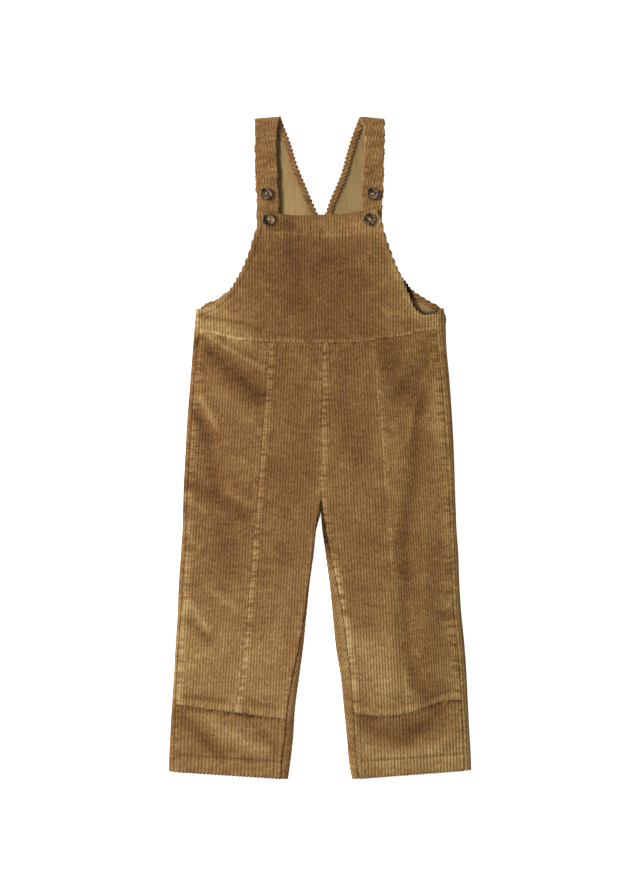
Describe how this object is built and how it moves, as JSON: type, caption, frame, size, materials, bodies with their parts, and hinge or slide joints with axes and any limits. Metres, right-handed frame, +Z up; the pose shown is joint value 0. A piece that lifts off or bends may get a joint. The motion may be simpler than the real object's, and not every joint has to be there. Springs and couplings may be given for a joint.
{
  "type": "toddler overalls",
  "caption": "Toddler overalls in wide corduroy, laid flat on their back with the bib buttoned to straps that fold over at the shoulders",
  "frame": {"origin": "centre of the bounding box's underside, on the surface that the overalls lie on", "axes": "+X to the right across the garment as seen from above, +Y from the leg hems to the shoulders, +Z up from the surface"},
  "size_m": [0.3189, 0.6996, 0.0103],
  "materials": {
    "corduroy": "light brown wide-wale cotton corduroy with a soft pile, plain tan twill on its inside",
    "button": "dark brown horn-look resin, polished, with streaks"
  },
  "bodies": {
    "root": {"bib": "corduroy", "back_bodice": "corduroy", "front_side_left": "corduroy", "front_centre_left": "corduroy", "front_centre_right": "corduroy", "front_side_right": "corduroy", "cuff_left": "corduroy", "cuff_right": "corduroy", "back_leg_left": "corduroy", "back_leg_right": "corduroy", "neck_hem_left": "corduroy", "neck_hem_right": "corduroy", "armhole_hem_left": "corduroy", "armhole_hem_right": "corduroy", "strap_button_left": "button", "strap_button_right": "button", "bib_button_left": "button", "bib_button_right": "button"}
  },
  "joints": []
}
